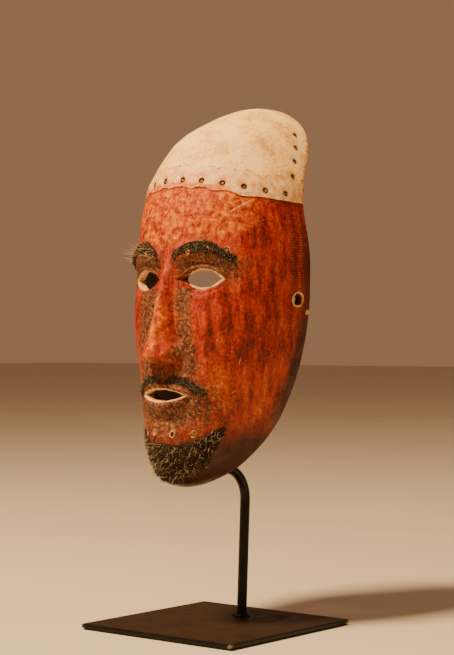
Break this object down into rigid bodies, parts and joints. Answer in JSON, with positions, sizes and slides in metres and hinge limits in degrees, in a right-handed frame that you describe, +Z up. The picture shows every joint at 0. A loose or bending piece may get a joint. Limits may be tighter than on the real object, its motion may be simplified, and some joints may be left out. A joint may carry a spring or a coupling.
{
  "type": "carved wooden mask on a stand",
  "caption": "Hollow carved wooden face mask with a pegged rawhide cap and hide brows and beard, hanging on a bent black steel display stand with a square base.",
  "frame": {"origin": "centre of the square base's underside", "axes": "+Z up; the mask's face looks along -Y; +X is to the mask's own left side"},
  "size_m": [0.1524, 0.164, 0.4216],
  "materials": {
    "painted_wood": "worn red and orange earth paint over carved wood, semi-gloss from handling",
    "rawhide": "dry cream rawhide, matt",
    "hairy_hide": "dark hide with stubs of coarse hair, matt",
    "peg_wood": "whittled bare wood, matt",
    "black_steel": "satin black paint on steel",
    "rubber_sleeve": "matt black tube",
    "pad_rubber": "matt dark sheet"
  },
  "bodies": {
    "stand": {"base_plate": "black_steel", "base_pad": "pad_rubber", "post": "black_steel", "foot_weld": "black_steel", "crossbar": "black_steel", "arm_left": "black_steel", "arm_right": "black_steel", "arm_sleeve_left": "rubber_sleeve", "arm_sleeve_right": "rubber_sleeve", "chin_brace": "black_steel", "chin_sleeve": "rubber_sleeve"},
    "mask": {"beard_hide": "hairy_hide", "beard_peg_1_2": "peg_wood", "beard_peg_1_4": "peg_wood", "beard_peg_2_1": "peg_wood", "beard_peg_2_3": "peg_wood", "brow_hide_left": "hairy_hide", "brow_hide_right": "hairy_hide", "brow_peg_left_1": "peg_wood", "brow_peg_left_2": "peg_wood", "brow_peg_left_3": "peg_wood", "brow_peg_right_1": "peg_wood", "brow_peg_right_2": "peg_wood", "brow_peg_right_3": "peg_wood", "cap_peg_01": "peg_wood", "cap_peg_02": "peg_wood", "cap_peg_03": "peg_wood", "cap_peg_04": "peg_wood", "cap_peg_05": "peg_wood", "cap_peg_06": "peg_wood", "cap_peg_07": "peg_wood", "cap_peg_08": "peg_wood", "cap_peg_09": "peg_wood", "cap_peg_10": "peg_wood", "cap_peg_11": "peg_wood", "hide_cap": "rawhide", "mask_shell": "painted_wood", "moustache_hide_left": "hairy_hide", "moustache_hide_right": "hairy_hide", "rim_peg_left_1": "peg_wood", "rim_peg_left_2": "peg_wood", "rim_peg_left_3": "peg_wood", "rim_peg_left_4": "peg_wood", "rim_peg_right_1": "peg_wood", "rim_peg_right_2": "peg_wood", "rim_peg_right_3": "peg_wood", "rim_peg_right_4": "peg_wood"}
  },
  "joints": [
    {"name": "mask_lift_off", "type": "slide", "parent": "stand", "child": "mask", "axis": [0, -0.7071, 0.7071], "range_m": [0, 0.16]}
  ]
}
